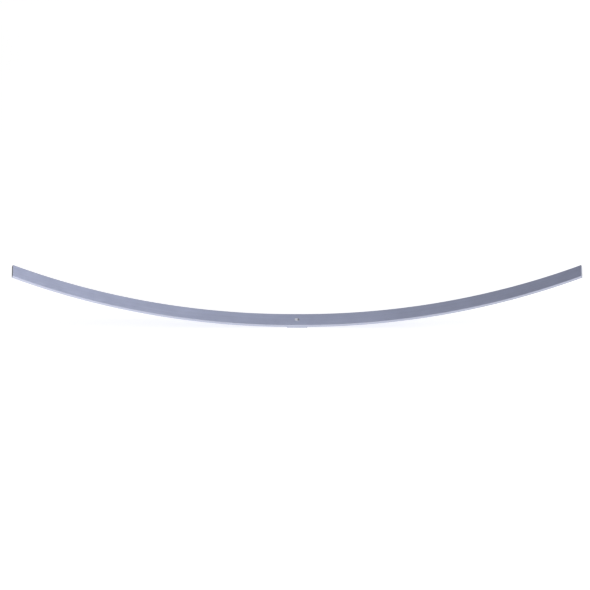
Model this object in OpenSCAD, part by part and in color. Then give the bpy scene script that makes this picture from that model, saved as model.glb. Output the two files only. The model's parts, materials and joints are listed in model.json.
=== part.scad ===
// Single-leaf spring: one flat bar, bent upwards on both sides of a short flat seat, with
// a thin square pad under its centre bolt hole.
//
// The origin is the middle of the pad's underside. +X runs along the bar, +Y across it,
// and +Z points to the hollow side of the bend. The real bar is one piece that bends
// evenly under load. Here each half is divided into equal stretches, and a knuckle in the
// middle of each stretch stands for its bending. The last stretch, at the tip, carries too
// little to bend and has no knuckle.

/* [Bar] */
// Width of the bar
leaf_w = 50; // [40:1:70]
// Thickness of the bar
leaf_t = 6; // [5:0.5:10]
// Length of the bar, measured flat
leaf_len = 1400; // [900:10:1600]
// Radius of the bend, to the middle of the bar's thickness
bend_r = 1690; // [1300:5:3000]
// Length of the flat seat in the middle of the bar
seat_len = 20; // [16:1:100]
// Radius of the bar's long edges
edge_r = 0.6; // [0.4:0.1:2]

/* [Centre] */
// Diameter of the centre bolt hole, through the bar and the pad
hole_d = 11; // [8:0.5:14]
// Length of the pad along the bar
pad_len = 50; // [30:1:60]
// Thickness of the pad
pad_t = 2; // [1:0.5:6]
// Radius of the pad's upright corners
pad_corner_r = 1.5; // [0.5:0.1:5]

/* [Knuckles] */
// Number of knuckles in each half of the bar
knuckles = 5; // [3:1:7]
// Gap between a knuckle's round end and the hollow that it turns in
knuckle_gap = 0.05; // [0.02:0.01:0.2]

/* [Hidden] */
$fn = 96;
sides = ["left", "right"];
// Moving pieces are numbered from the seat outwards
function leaf_node(side, i) = str("leaf_", side, "_", i + 1);

bar_colour = [0.57, 0.60, 0.68];
pad_colour = [0.63, 0.66, 0.74];

// A whole turn of the bend in short steps, so that the long radius looks smooth
bend_fn = 720;
// The bar's rounded long edges have three flats to a quarter turn
edge_fn = 12;
// How far cutters reach past the faces that they cut
overcut = 1;
// Radius of a knuckle's round end, well over half the bar's thickness so that the hollow
// around it has no feather edges
knuckle_r = 0.7 * leaf_t;
// How far the bar runs past a knuckle's axis before its round end is cut
round_end_len = knuckle_r + overcut;
// Height of the middle of the bar's thickness over its seat
mid_z = pad_t + leaf_t / 2;
half_len = leaf_len / 2;
// Length of bar that each knuckle stands for, and of the last stretch
stretch = (half_len - seat_len / 2) / (knuckles + 1);
// Distances along the bar, from its middle, to the knuckles of one half
knuckle_s = [for (i = [0:knuckles - 1]) seat_len / 2 + (i + 0.5) * stretch];

// The angle that the bar has turned through at a distance s along it from its middle
function turned(s) = (s - seat_len / 2) / bend_r * 180 / PI;

// A rectangle about the origin with round corners
module round_rect(size, r) {
  square([size.x, size.y - 2 * r], center = true);
  square([size.x - 2 * r, size.y], center = true);
  for (x = [-1, 1], y = [-1, 1])
    translate([x * (size.x / 2 - r), y * (size.y / 2 - r)]) circle(r);
}

// The centre that the right half of the bar is bent about
module at_bend_centre() translate([seat_len / 2, 0, mid_z + bend_r]) children();

// A place on the right half's middle surface, with X along the bar
module at_distance(s)
  at_bend_centre() rotate([0, -turned(s), 0]) translate([0, 0, -bend_r]) children();

// The right half of the bar between two distances from its middle
module bent_bar(from, to)
  at_bend_centre() rotate([90, 0, 0]) rotate([0, 0, turned(from) - 90])
    rotate_extrude(angle = turned(to) - turned(from), $fn = bend_fn)
      translate([bend_r, 0]) round_rect([leaf_t, leaf_w], edge_r, $fn = edge_fn);

// What is cut from the bar beyond a knuckle's axis, to leave a round end about that axis
module round_end_cutter(s)
  at_distance(s) difference() {
    translate([0, -leaf_w / 2 - overcut, -leaf_t])
      cube([round_end_len + overcut, leaf_w + 2 * overcut, 2 * leaf_t]);
    knuckle_cylinder(knuckle_r);
  }

// The hollow that a knuckle's round end turns in, as a cutter
module hollow_cutter(s) at_distance(s) knuckle_cylinder(knuckle_r + knuckle_gap);

// A cylinder across the bar
module knuckle_cylinder(r)
  rotate([90, 0, 0]) cylinder(r = r, h = leaf_w + 4 * overcut, center = true);

// The bolt hole, as a cutter through the bar and the pad
module bolt_hole()
  translate([0, 0, -overcut])
    cylinder(d = hole_d, h = pad_t + leaf_t + 2 * overcut);

// What is on the right half, on either side of the bar
module on_side(side) mirror([side == "left" ? 1 : 0, 0, 0]) children();

// One moving piece, from its hollow to its own round end, or to the bar's square-cut end
module leaf_piece(side, i) {
  last = i == knuckles - 1;
  color(bar_colour) on_side(side) difference() {
    bent_bar(knuckle_s[i], last ? half_len : knuckle_s[i + 1] + round_end_len);
    hollow_cutter(knuckle_s[i]);
    if (!last) round_end_cutter(knuckle_s[i + 1]);
  }
}

module leaf_centre()
  color(bar_colour) difference() {
    union() {
      translate([0, 0, mid_z]) rotate([90, 0, 90])
        linear_extrude(height = seat_len, center = true)
          round_rect([leaf_w, leaf_t], edge_r, $fn = edge_fn);
      for (side = sides) on_side(side)
        bent_bar(seat_len / 2, knuckle_s[0] + round_end_len);
    }
    for (side = sides) on_side(side) round_end_cutter(knuckle_s[0]);
    bolt_hole();
  }

module centre_pad()
  color(pad_colour) difference() {
    linear_extrude(height = pad_t) round_rect([pad_len, leaf_w], pad_corner_r);
    bolt_hole();
  }

leaf_centre();
centre_pad();
for (side = sides, i = [0:knuckles - 1])
  leaf_piece(side, i);
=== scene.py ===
"""A single-leaf spring: a bent steel bar with a flat seat, a bolt hole and a thin square pad."""

import json
import math

import bpy
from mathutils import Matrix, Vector


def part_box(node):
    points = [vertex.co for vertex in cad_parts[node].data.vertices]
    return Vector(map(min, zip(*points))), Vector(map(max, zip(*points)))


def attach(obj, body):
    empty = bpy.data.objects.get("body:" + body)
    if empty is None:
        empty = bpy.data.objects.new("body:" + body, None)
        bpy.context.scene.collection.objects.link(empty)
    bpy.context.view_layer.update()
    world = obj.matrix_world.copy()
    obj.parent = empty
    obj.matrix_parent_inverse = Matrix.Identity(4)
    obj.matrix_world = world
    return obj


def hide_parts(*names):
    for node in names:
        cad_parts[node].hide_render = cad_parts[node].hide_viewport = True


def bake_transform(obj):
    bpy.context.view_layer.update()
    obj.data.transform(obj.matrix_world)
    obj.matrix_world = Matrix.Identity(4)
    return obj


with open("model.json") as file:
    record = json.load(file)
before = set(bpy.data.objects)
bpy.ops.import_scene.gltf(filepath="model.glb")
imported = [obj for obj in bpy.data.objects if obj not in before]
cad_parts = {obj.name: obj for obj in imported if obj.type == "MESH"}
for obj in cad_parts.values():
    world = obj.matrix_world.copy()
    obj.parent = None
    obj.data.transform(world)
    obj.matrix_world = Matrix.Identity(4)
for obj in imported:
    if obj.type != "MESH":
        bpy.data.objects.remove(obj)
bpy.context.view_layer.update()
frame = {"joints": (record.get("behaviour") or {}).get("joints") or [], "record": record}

# Sizes are in metres. Those that the frame holds are read from it.
MOUNTS = {m["name"]: m for m in frame["record"]["mounts"]}
PAD_LOW, PAD_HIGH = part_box("centre_pad")
PAD_TOP = PAD_HIGH.z
SEAT_TOP = MOUNTS["clamp_face"]["pos_m"][2]
HOLE_R = MOUNTS["centre_bolt_hole"]["dims"]["r_mm"] / 1000
LEAF_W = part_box("leaf_centre")[1].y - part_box("leaf_centre")[0].y
LEAF_T = SEAT_TOP - PAD_TOP
MID_Z = (PAD_TOP + SEAT_TOP) / 2

# The bar's bend, as the CAD has it: a short flat seat, then an arc of one radius to each end
BEND_R = 1.690
SEAT_HALF = 0.010
HALF_LEN = 0.700
KNUCKLES = len(frame["joints"]) // 2
STRETCH = (HALF_LEN - SEAT_HALF) / (KNUCKLES + 1)

# Radii of the rounded edges
LONG_EDGE_R = 0.0006
CUT_EDGE_R = 0.0005
HOLE_EDGE_R = 0.0005
PAD_CORNER_R = 0.0015
PAD_EDGE_R = 0.00035

# How finely the surfaces are divided: steps to a rounded edge, distance between rows along the
# bar, and steps across the bar, along a plate's side and from a plate's edge to its hole
ARC_STEPS = 6
ROW_STEP = 0.004
WIDTH_STEPS = 12
SIDE_STEPS = 24
FACE_STEPS = 4

# The attribute that holds each point's place in the steel as it was before bending
PLACE = "steel_place"


# ---- Meshes


def add_object(name, data):
    """A new object in the scene."""
    new = bpy.data.objects.new(name, data)
    bpy.context.scene.collection.objects.link(new)
    return new


class Skin:
    """A closed mesh in the making.

    Each point has a position, an outward normal and a place in the steel.
    """

    def __init__(self):
        self.points = []
        self.normals = []
        self.places = []
        self.faces = []
        self.flat = []

    def row(self, entries):
        """Adds a closed row of (position, normal, place) and returns the numbers of its points."""
        first = len(self.points)
        for position, normal, place in entries:
            self.points.append(tuple(position))
            self.normals.append(tuple(normal))
            self.places.append(tuple(place))
        return list(range(first, len(self.points)))

    def bridge(self, row, next_row, flat=None):
        """Joins two rows by a band of quads. flat says which quads are flat and crisp."""
        for k in range(len(row)):
            after = (k + 1) % len(row)
            self.faces.append((row[k], row[after], next_row[after], next_row[k]))
            self.flat.append(flat[k] if flat else False)

    def cap(self, row):
        """Closes a row with one flat face."""
        self.faces.append(tuple(row))
        self.flat.append(True)

    def make(self, name, material):
        """The finished piece, with the normals of its true surface."""
        mesh = bpy.data.meshes.new(name)
        mesh.from_pydata(self.points, [], self.faces)
        mesh.polygons.foreach_set("use_smooth", [True] * len(self.faces))
        place = mesh.attributes.new(PLACE, "FLOAT_VECTOR", "POINT")
        place.data.foreach_set("vector", [value for p in self.places for value in p])
        mesh.update()
        corners = []
        for polygon, flat in zip(mesh.polygons, self.flat):
            face_normal = tuple(polygon.normal)
            corners += [face_normal if flat else self.normals[v] for v in polygon.vertices]
        mesh.normals_split_custom_set(corners)
        mesh.materials.append(material)
        return add_object(name, mesh)


def turns(start, end):
    """Angles in radians from start to end, both included, which are given in degrees."""
    return [math.radians(start + (end - start) * i / ARC_STEPS) for i in range(ARC_STEPS + 1)]


def section(inset):
    """Points round the bar's section, inset from its surface.

    Each is (across, up, normal across, normal up).
    """
    corner_r = LONG_EDGE_R - inset
    corner_across = LEAF_W / 2 - LONG_EDGE_R
    corner_up = LEAF_T / 2 - LONG_EDGE_R
    points = []
    for number, (side, level) in enumerate([(1, 1), (-1, 1), (-1, -1), (1, -1)]):
        for angle in turns(90 * number, 90 * number + 90):
            normal = (math.cos(angle), math.sin(angle))
            across = side * corner_across + corner_r * normal[0]
            points.append((across, level * corner_up + corner_r * normal[1], *normal))
        if side == level:
            for i in range(1, WIDTH_STEPS):
                across = side * corner_across * (1 - 2 * i / WIDTH_STEPS)
                points.append((across, level * (LEAF_T / 2 - inset), 0.0, float(level)))
    return points


def bar_frame(s):
    """The bar's middle at a signed distance s along it, with its +X-going and upward directions."""
    side = math.copysign(1, s)
    angle = max(0.0, abs(s) - SEAT_HALF) / BEND_R
    x = min(abs(s), SEAT_HALF) + BEND_R * math.sin(angle)
    z = MID_Z + BEND_R * (1 - math.cos(angle))
    forward = Vector((math.cos(angle), 0, side * math.sin(angle)))
    up = Vector((-side * math.sin(angle), 0, math.cos(angle)))
    return Vector((side * x, 0, z)), forward, up


def bar_ring(s, inset=0.0, lean=0.0):
    """A row round the bar. lean turns its normals towards the bar's end, for a rounded edge."""
    middle, forward, up = bar_frame(s)
    endwards = forward * math.copysign(1, s)
    ring = []
    for across, height, normal_across, normal_up in section(inset):
        position = middle + Vector((0, across, 0)) + up * height
        sideways = Vector((0, normal_across, 0)) + up * normal_up
        normal = sideways * math.cos(lean) + endwards * math.sin(lean)
        ring.append((position, normal, (s, across, height)))
    return ring


def bar_piece(name, side, start, end, material, cut_end=False):
    """A closed length of the bar on one side, between two distances from its centre.

    A cut end has rounded edges.
    """
    plain_end = end - CUT_EDGE_R if cut_end else end
    steps = round((plain_end - start) / ROW_STEP)
    distances = [start + (plain_end - start) * i / steps for i in range(steps + 1)]
    rings = [bar_ring(side * distance) for distance in distances]
    if cut_end:
        for angle in turns(0, 90)[1:]:
            distance = plain_end + CUT_EDGE_R * math.sin(angle)
            rings.append(bar_ring(side * distance, CUT_EDGE_R * (1 - math.cos(angle)), angle))
    if side < 0:
        rings.reverse()
    skin = Skin()
    rows = [skin.row(ring) for ring in rings]
    for row, next_row in zip(rows, rows[1:]):
        skin.bridge(row, next_row)
    skin.cap(rows[0][::-1])
    skin.cap(rows[-1])
    return skin.make(name, material)


def corners_of(half_x, half_y):
    """The corners of a rectangle round the origin, anticlockwise from the one at +X and +Y."""
    corners = [Vector((half_x, half_y, 0)), Vector((-half_x, half_y, 0))]
    return corners + [-corners[0], -corners[1]]


def seat_outline(inset):
    """The seat from above: (position, normal) points, and which of them begin a flat joint."""
    corners = corners_of(SEAT_HALF, LEAF_W / 2 - inset)
    points, joints = [], []
    for number, corner in enumerate(corners):
        far = corners[(number + 1) % 4]
        for i in range(SIDE_STEPS):
            position = corner.lerp(far, i / SIDE_STEPS)
            points.append((position, Vector((0, math.copysign(1, position.y), 0))))
            joints.append(number % 2 == 1)
    return points, joints


def pad_outline(inset):
    """The pad from above, with round corners: (position, normal) points, and no flat joints."""
    corner_r = PAD_CORNER_R - inset
    corners = corners_of(PAD_HIGH.x - PAD_CORNER_R, PAD_HIGH.y - PAD_CORNER_R)
    points = []
    for number, corner in enumerate(corners):
        for angle in turns(90 * number, 90 * number + 90):
            normal = Vector((math.cos(angle), math.sin(angle), 0))
            points.append((corner + normal * corner_r, normal))
        far = corners[(number + 1) % 4]
        for i in range(1, SIDE_STEPS):
            points.append((corner.lerp(far, i / SIDE_STEPS) + normal * corner_r, normal))
    return points, [False] * len(points)


def holed_plate(name, outline, edge_r, low_z, high_z, material):
    """A flat plate with the bolt hole through it, its outer and hole edges rounded."""
    up = Vector((0, 0, 1))
    skin = Skin()
    joints = outline(0.0)[1]

    def place(position):
        return position - up * (low_z + high_z) / 2

    def outer(z_middle, angle):
        """A row round the rounded outer edge, whose normals rise by angle."""
        row = []
        for position, normal in outline(edge_r * (1 - math.cos(angle)))[0]:
            point = position + up * (z_middle + edge_r * math.sin(angle))
            row.append((point, normal * math.cos(angle) + up * math.sin(angle), place(point)))
        return row

    def inner(z_middle, angle):
        """A row round the rounded hole edge, at the outer row's bearings."""
        row = []
        for position, _ in outline(edge_r)[0]:
            outwards = position.normalized()
            radius = HOLE_R + HOLE_EDGE_R * (1 - math.cos(angle))
            point = outwards * radius + up * (z_middle + HOLE_EDGE_R * math.sin(angle))
            row.append((point, -outwards * math.cos(angle) + up * math.sin(angle), place(point)))
        return row

    def between(row, next_row):
        """The rows that divide a flat face."""
        for i in range(1, FACE_STEPS):
            share = i / FACE_STEPS
            blend = [(a.lerp(b, share), normal) for (a, normal, _), (b, _, _) in zip(row, next_row)]
            yield [(point, normal, place(point)) for point, normal in blend]

    top = [outer(high_z - edge_r, a) for a in turns(0, 90)]
    top_hole = [inner(high_z - HOLE_EDGE_R, a) for a in turns(90, 0)]
    low_hole = [inner(low_z + HOLE_EDGE_R, a) for a in turns(0, -90)]
    low = [outer(low_z + edge_r, a) for a in turns(-90, 0)]
    rings = top + list(between(top[-1], top_hole[0])) + top_hole
    rings += low_hole + list(between(low_hole[-1], low[0])) + low
    rows = [skin.row(ring) for ring in rings]
    for row, next_row in zip(rows, rows[1:] + rows[:1]):
        skin.bridge(row, next_row, joints)
    return skin.make(name, material)


# ---- Materials

LEAF_TINT = (0.42, 0.455, 0.62)
PAD_TINT = (0.44, 0.475, 0.64)
WORN_STEEL = (0.60, 0.62, 0.70)
# The hole's wall: bright drilled steel with painted light on its left, then painted shade on its
# right
DRILLED_STEEL_PAINTED_LIGHT = (0.87, 0.88, 0.94)
HOLE_PAINTED_SHADE = (0.27, 0.275, 0.30)
# The sheared ends' colours: the left one darker as painted shade and the right one lighter as painted
# light, as from a lamp on the right
LEFT_END_PAINTED_SHADE = (0.11, 0.112, 0.122)
RIGHT_END_PAINTED_LIGHT = (0.42, 0.435, 0.50)
FLOOR_TINT = (0.5, 0.5, 0.5)
WHITE = (1.0, 1.0, 1.0)

# How much darker and lighter than its tint each finish gets
PEENED_SHADES = (0.93, 1.06)
SHEARED_SHADES = (0.75, 1.25)
DRILLED_SHADES = (0.9, 1.05)
FLOOR_SHADES = (0.98, 1.02)

# How metallic all the steel is, how rough each finish is, and how strongly its relief shows
METALLIC = 0.6
PEENED_ROUGH = (0.42, 0.52)
WORN_ROUGH = 0.38
SHEARED_ROUGH = 0.62
DRILLED_ROUGH = 0.35
FLOOR_ROUGH = 0.9
RELIEF_STRENGTH = 0.35
RELIEF_DEPTH = 0.0001

# Each noise's features to a metre, its detail, and the share of its scale along each axis. A
# small share draws the features out. POLISH varies the roughness, and RAGS the worn strips.
EVEN = (1.0, 1.0, 1.0)
CLOUDS = (9.0, 4.0, EVEN)
STREAKS = (260.0, 3.0, (0.016, 1.0, 1.0))
GRAIN = (900.0, 2.0, EVEN)
POLISH = (45.0, 4.0, EVEN)
RAGS = (120.0, 4.0, EVEN)
TEARS = (1400.0, 3.0, (1.0, 1.0, 0.06))
RINGS = (2600.0, 2.0, (0.02, 0.02, 1.0))
FLOOR_CLOUDS = (1.2, 2.0, EVEN)
DIMPLE_SCALE = 650.0
# Nearly all of a noise lies in this range, and nearly all of the steel's tone in the next one
NOISE_RANGE = (0.3, 0.7)
TONE_RANGE = (0.35, 0.65)
# What the clouds, streaks and grain count for in that tone
CLOUD_SHARE = 0.4
STREAK_SHARE = 0.35
GRAIN_SHARE = 0.25

# A finish is at full strength this close to its own surface, and is gone at its depth below
SURFACE = 0.0001
SHEARED_DEPTH = 0.00035
DRILLED_DEPTH = 0.0003
# Width of the worn strip along an edge, how far that width wanders, and how strongly it shows
WORN_WIDTH = 0.0014
WORN_WANDER = 0.003
WORN_STRENGTH = 0.5
# The hole's wall goes from painted light on its left to painted shade on its right between these
# places along the bar
HOLE_LIGHT_TO_SHADE_RANGE = (-0.1 * HOLE_R, 0.5 * HOLE_R)

# The floor's glow grows from the first strength to the second over a range of distance from
# the origin
FLOOR_GLOW = (0.70, 0.94)
FLOOR_GLOW_RANGE = (0.8, 6.0)


class Nodes:
    """Short calls for building a material's nodes. texture is the vector that its noises read."""

    def __init__(self, name):
        self.material = bpy.data.materials.new(name)
        self.material.use_nodes = True
        self.tree = self.material.node_tree
        self.shader = self.tree.nodes["Principled BSDF"]

    def add(self, kind, inputs=None, **settings):
        node = self.tree.nodes.new(kind)
        for key, value in settings.items():
            setattr(node, key, value)
        for key, value in (inputs or {}).items():
            self.put(node.inputs[key], value)
        return node

    def put(self, socket, value):
        """Sets a socket to a value, or links it to another node's socket."""
        if isinstance(value, bpy.types.NodeSocket):
            self.tree.links.new(value, socket)
        else:
            socket.default_value = value

    def math(self, operation, *values):
        node = self.add("ShaderNodeMath", operation=operation)
        for socket, value in zip(node.inputs, values):
            self.put(socket, value)
        return node.outputs[0]

    def noise(self, scale, detail, shares):
        """Noise from 0 to 1 with scale features to a metre, drawn out where a share is under 1."""
        scales = [scale * share for share in shares]
        mapping = self.add("ShaderNodeMapping", {"Vector": self.texture, "Scale": scales})
        inputs = {"Vector": mapping.outputs[0], "Scale": 1.0, "Detail": detail}
        return self.add("ShaderNodeTexNoise", inputs).outputs[0]

    def ramp(self, value, span, to_span=(0.0, 1.0)):
        """A smooth climb from one end of to_span to the other, as value goes over span."""
        node = self.add("ShaderNodeMapRange", interpolation_type="SMOOTHSTEP")
        for socket, number in zip(node.inputs, (value, *span, *to_span)):
            self.put(socket, number)
        return node.outputs[0]

    def mix(self, share, first, second):
        """A mix of two colours."""
        node = self.add("ShaderNodeMix", {"Factor": share}, data_type="RGBA")
        for socket, colour in zip([i for i in node.inputs if i.type == "RGBA"], (first, second)):
            self.put(socket, colour)
        return next(o for o in node.outputs if o.type == "RGBA")

    def mix_value(self, share, first, second):
        """A mix of two numbers."""
        inputs = {"Factor": share, "A": first, "B": second}
        return self.add("ShaderNodeMix", inputs, data_type="FLOAT").outputs["Result"]

    def mottle(self, share, tint, shades):
        """A mix of a darker and a lighter shade of a tint."""
        return self.mix(share, *[opaque(tint, factor) for factor in shades])


def opaque(tint, factor=1.0):
    """A colour socket's value for a tint, made lighter or darker by a factor."""
    return (*[c * factor for c in tint], 1)


class Steel(Nodes):
    """Shot-peened spring steel. Further finishes are laid over it, each where its own mask is 1."""

    def __init__(self, name, tint, texture_start):
        super().__init__(name)
        place = self.add("ShaderNodeAttribute", attribute_name=PLACE).outputs["Vector"]
        self.along, self.across, _ = self.add("ShaderNodeSeparateXYZ", {"Vector": place}).outputs
        start = {0: place, 1: texture_start}
        self.texture = self.add("ShaderNodeVectorMath", start, operation="ADD").outputs[0]

        # Soft clouds of oxide, streaks along the rolling direction, and the grain of the peening
        clouds = self.math("MULTIPLY", self.noise(*CLOUDS), CLOUD_SHARE)
        streaks = self.math("MULTIPLY", self.noise(*STREAKS), STREAK_SHARE)
        grain = self.math("MULTIPLY", self.noise(*GRAIN), GRAIN_SHARE)
        tone = self.math("ADD", self.math("ADD", clouds, streaks), grain)
        self.colour = self.mottle(self.ramp(tone, TONE_RANGE), tint, PEENED_SHADES)
        self.rough = self.ramp(self.noise(*POLISH), NOISE_RANGE, PEENED_ROUGH)
        inputs = {"Vector": self.texture, "Scale": DIMPLE_SCALE}
        dimples = self.add("ShaderNodeTexVoronoi", inputs, feature="SMOOTH_F1").outputs["Distance"]
        self.relief = self.math("ADD", dimples, streaks)

    def lay(self, mask, colour, rough, relief):
        """Lays another finish over what is there."""
        self.colour = self.mix(mask, self.colour, colour)
        self.rough = self.mix_value(mask, self.rough, rough)
        self.relief = self.mix_value(mask, self.relief, relief)

    def wear(self, distance, half_width):
        """Edges rubbed bright and smooth, unevenly, at half_width on both sides of the middle."""
        wander = self.math("MULTIPLY", self.math("SUBTRACT", self.noise(*RAGS), 0.5), WORN_WANDER)
        reach = self.math("ADD", self.math("ABSOLUTE", distance), wander)
        worn = self.ramp(reach, (half_width - WORN_WIDTH, half_width - SURFACE))
        mask = self.math("MULTIPLY", worn, WORN_STRENGTH)
        self.lay(mask, opaque(WORN_STEEL), WORN_ROUGH, self.relief)

    def shear(self, side, tint):
        """One of the bar's sheared ends, rougher than its faces, with upright tear marks. Its tint is
        painted shade on the left end and painted light on the right.
        """
        tears = self.noise(*TEARS)
        reach = self.math("MULTIPLY", self.along, side)
        mask = self.ramp(reach, (HALF_LEN - SHEARED_DEPTH, HALF_LEN - SURFACE))
        self.lay(mask, self.mottle(tears, tint, SHEARED_SHADES), SHEARED_ROUGH, tears)

    def drill(self):
        """The hole's wall, with fine rings round it, bright drilled steel with painted light on the
        left and painted shade on the right.
        """
        rings = self.noise(*RINGS)
        squares = [self.math("MULTIPLY", v, v) for v in (self.along, self.across)]
        off_axis = self.math("SQRT", self.math("ADD", *squares))
        mask = self.ramp(off_axis, (HOLE_R + DRILLED_DEPTH, HOLE_R + SURFACE))
        painted_light_wall = self.mottle(rings, DRILLED_STEEL_PAINTED_LIGHT, DRILLED_SHADES)
        # The wall runs from painted light on the left to painted shade on the right, as from a lamp
        # on the right
        colour = self.mix(self.ramp(self.along, HOLE_LIGHT_TO_SHADE_RANGE), painted_light_wall, opaque(HOLE_PAINTED_SHADE))
        self.lay(mask, colour, DRILLED_ROUGH, rings)

    def finish(self):
        self.put(self.shader.inputs["Base Color"], self.colour)
        self.put(self.shader.inputs["Roughness"], self.rough)
        self.shader.inputs["Metallic"].default_value = METALLIC
        inputs = {"Height": self.relief, "Strength": RELIEF_STRENGTH, "Distance": RELIEF_DEPTH}
        self.put(self.shader.inputs["Normal"], self.add("ShaderNodeBump", inputs).outputs[0])
        return self.material


def leaf_material():
    steel = Steel("peened_steel", LEAF_TINT, (0.0, 0.0, 0.0))
    steel.wear(steel.across, LEAF_W / 2)
    # The left end is darkened as painted shade and the right end lightened as painted light
    steel.shear(-1, LEFT_END_PAINTED_SHADE)
    steel.shear(1, RIGHT_END_PAINTED_LIGHT)
    steel.drill()
    return steel.finish()


def pad_material():
    """The pad is cut from another plate, so its texture starts elsewhere."""
    steel = Steel("plate_steel", PAD_TINT, (3.0, 1.0, 0.0))
    steel.wear(steel.across, PAD_HIGH.y)
    steel.wear(steel.along, PAD_HIGH.x)
    steel.drill()
    return steel.finish()


def floor_material():
    """A pale floor that glows, as a light table does, so that shadows on it stay faint.

    It is clear from below, and it glows more where the lamps light it less.
    """
    n = Nodes("pale_floor")
    geometry = n.add("ShaderNodeNewGeometry")
    n.texture = geometry.outputs["Position"]
    tone = n.ramp(n.noise(*FLOOR_CLOUDS), NOISE_RANGE)
    n.put(n.shader.inputs["Base Color"], n.mottle(tone, FLOOR_TINT, FLOOR_SHADES))
    n.shader.inputs["Roughness"].default_value = FLOOR_ROUGH
    n.shader.inputs["Specular IOR Level"].default_value = 0.0
    n.shader.inputs["Emission Color"].default_value = opaque(WHITE)
    length = n.add("ShaderNodeVectorMath", {0: n.texture}, operation="LENGTH")
    glow = n.ramp(length.outputs["Value"], FLOOR_GLOW_RANGE, FLOOR_GLOW)
    n.put(n.shader.inputs["Emission Strength"], glow)
    clear = n.add("ShaderNodeBsdfTransparent").outputs[0]
    inputs = {0: geometry.outputs["Backfacing"], 1: n.shader.outputs[0], 2: clear}
    sides = n.add("ShaderNodeMixShader", inputs)
    n.put(n.tree.nodes["Material Output"].inputs["Surface"], sides.outputs[0])
    return n.material


# ---- The spring


def make_leaf(material):
    """The bar as one unbroken surface: a seat, stretches along the arc, and tips."""
    seat = holed_plate("leaf_seat", seat_outline, LONG_EDGE_R, PAD_TOP, SEAT_TOP, material)
    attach(seat, "seat")
    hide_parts("leaf_centre")
    for side_name, side in (("left", -1), ("right", 1)):
        body = "seat"
        for number in range(1, KNUCKLES + 1):
            start, end = SEAT_HALF + (number - 1) * STRETCH, SEAT_HALF + number * STRETCH
            next_body = f"{side_name}_{number}"
            piece = bar_piece(f"leaf_{side_name}_stretch_{number}", side, start, end, material)
            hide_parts(f"leaf_{side_name}_{number}")
            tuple(bar_frame(side * start)[0])
            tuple(bar_frame(side * end)[0])
            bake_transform(piece)
            body = next_body
        tip = bar_piece(f"leaf_{side_name}_end", side, end, HALF_LEN, material, cut_end=True)
        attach(tip, body)
        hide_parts(f"leaf_{side_name}_{KNUCKLES}")


def make_pad(material):
    pad = holed_plate("spring_pad", pad_outline, PAD_EDGE_R, PAD_LOW.z, PAD_TOP, material)
    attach(pad, "seat")
    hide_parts("centre_pad")


# ---- The studio

CAMERA_ELEVATION = 31.9
# A very long lens, far away, shows the spring with next to no perspective
CAMERA_LENS = 1000
# How far away it sees
CAMERA_RANGE = 100
# Width of what the picture shows at the spring
CAMERA_WIDTH = 1.412
# The point in the middle of the picture
CAMERA_AIM = Vector((-0.0050, 0.0, 0.0770))

FLOOR_REACH = 40.0
# The world's strength as it lights the scene, and as it shows behind the floor's edge
WORLD_LIGHT = 0.17
WORLD_SEEN = 1.0
# Bearing in degrees from +Y towards +X, distance, height, size and power of each lamp
LAMPS = {
    "overhead": (180, 0.4, 3.8, (5.0, 4.0), 50),
    "back": (25, 4.2, 2.0, (4.5, 2.2), 35),
    "back_right": (50, 4.0, 2.0, (3.0, 2.0), 22),
    "right": (80, 3.2, 1.6, (2.4, 2.0), 42),
    "front_left": (-153, 1.34, 0.38, (1.6, 0.6), 10),
}


def face(towards):
    """The rotation that turns a camera or a lamp to a direction, the right way up."""
    return towards.to_track_quat("-Z", "Y").to_euler()


def make_camera():
    data = bpy.data.cameras.new("camera")
    data.lens = CAMERA_LENS
    data.clip_end = CAMERA_RANGE
    camera = add_object("camera", data)
    elevation = math.radians(CAMERA_ELEVATION)
    towards = Vector((0, math.cos(elevation), -math.sin(elevation)))
    camera.location = CAMERA_AIM - towards * (CAMERA_WIDTH * CAMERA_LENS / data.sensor_width)
    camera.rotation_euler = face(towards)
    bpy.context.scene.camera = camera


def softbox(name, bearing, distance, height, size, power):
    """A rectangular area light that faces the spring and isn't seen itself."""
    data = bpy.data.lights.new(name, "AREA")
    data.shape = "RECTANGLE"
    data.size, data.size_y = size
    data.energy = power
    lamp = add_object(name, data)
    lamp.visible_camera = False
    angle = math.radians(bearing)
    place = Vector((distance * math.sin(angle), distance * math.cos(angle), height))
    lamp.location = place
    lamp.rotation_euler = face(CAMERA_AIM - place)


def make_floor():
    mesh = bpy.data.meshes.new("floor")
    corners = [(FLOOR_REACH * x, FLOOR_REACH * y, 0) for x, y in [(-1, -1), (1, -1), (1, 1), (-1, 1)]]
    mesh.from_pydata(corners, [], [(0, 1, 2, 3)])
    mesh.materials.append(floor_material())
    floor = add_object("floor", mesh)


def make_world():
    """A dim even light from all round. Behind the floor's edge it shows as white."""
    world = bpy.data.worlds.new("studio")
    world.use_nodes = True
    tree = world.node_tree
    camera_ray = tree.nodes.new("ShaderNodeLightPath").outputs["Is Camera Ray"]
    strength = tree.nodes.new("ShaderNodeMapRange")
    tree.links.new(camera_ray, strength.inputs["Value"])
    strength.inputs["To Min"].default_value = WORLD_LIGHT
    strength.inputs["To Max"].default_value = WORLD_SEEN
    background = tree.nodes["Background"]
    background.inputs["Color"].default_value = opaque(WHITE)
    tree.links.new(strength.outputs["Result"], background.inputs["Strength"])
    bpy.context.scene.world = world


def make_studio():
    make_floor()
    make_world()
    for name, (bearing, distance, height, size, power) in LAMPS.items():
        softbox(name, bearing, distance, height, size, power)
    bpy.context.scene.view_settings.view_transform = "Standard"


make_camera()
make_studio()
make_leaf(leaf_material())
make_pad(pad_material())
